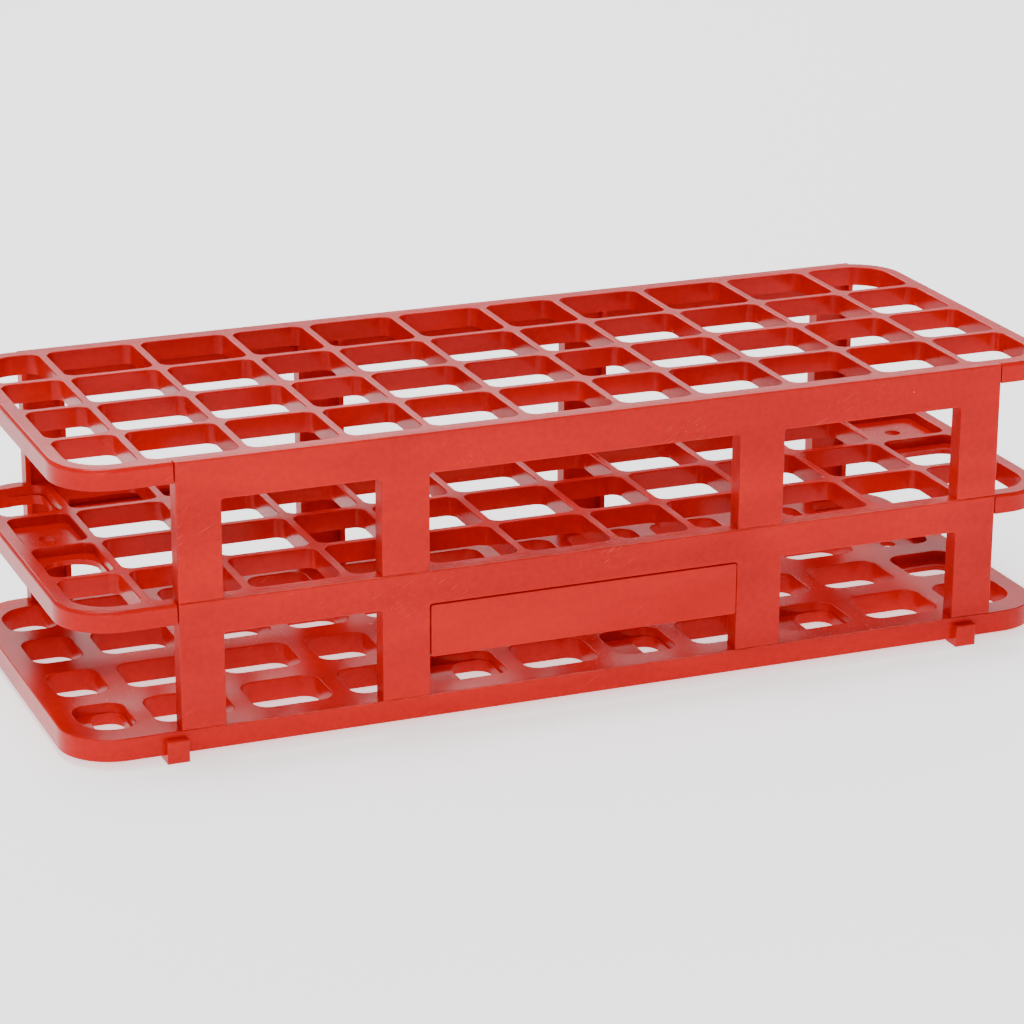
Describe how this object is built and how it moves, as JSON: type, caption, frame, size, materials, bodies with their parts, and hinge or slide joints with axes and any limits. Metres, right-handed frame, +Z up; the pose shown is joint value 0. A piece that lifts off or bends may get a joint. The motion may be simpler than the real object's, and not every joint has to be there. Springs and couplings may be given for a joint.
{
  "type": "test tube rack",
  "caption": "Long three-tier plastic test tube rack: grid decks held apart by windowed side frames, with a blank label plate and small clip-on feet.",
  "frame": {"origin": "on the table under the middle of the rack, at the bottom of its feet", "axes": "+X along the length to the right, +Y to the rear, +Z up; the labelled side faces -Y"},
  "size_m": [0.317, 0.1276, 0.0901],
  "materials": {
    "decks": "moulded, semi-gloss",
    "frames": "moulded, satin face",
    "label": "fine matt face, blank",
    "feet": "moulded, semi-gloss"
  },
  "bodies": {
    "root": {"top_deck": "decks", "middle_deck": "decks", "base_deck": "decks", "upper_front_frame": "frames", "lower_front_frame": "frames", "upper_rear_frame": "frames", "lower_rear_frame": "frames", "label_plate": "label", "foot_front_left": "feet", "foot_front_right": "feet", "foot_rear_left": "feet", "foot_rear_right": "feet"}
  },
  "joints": []
}
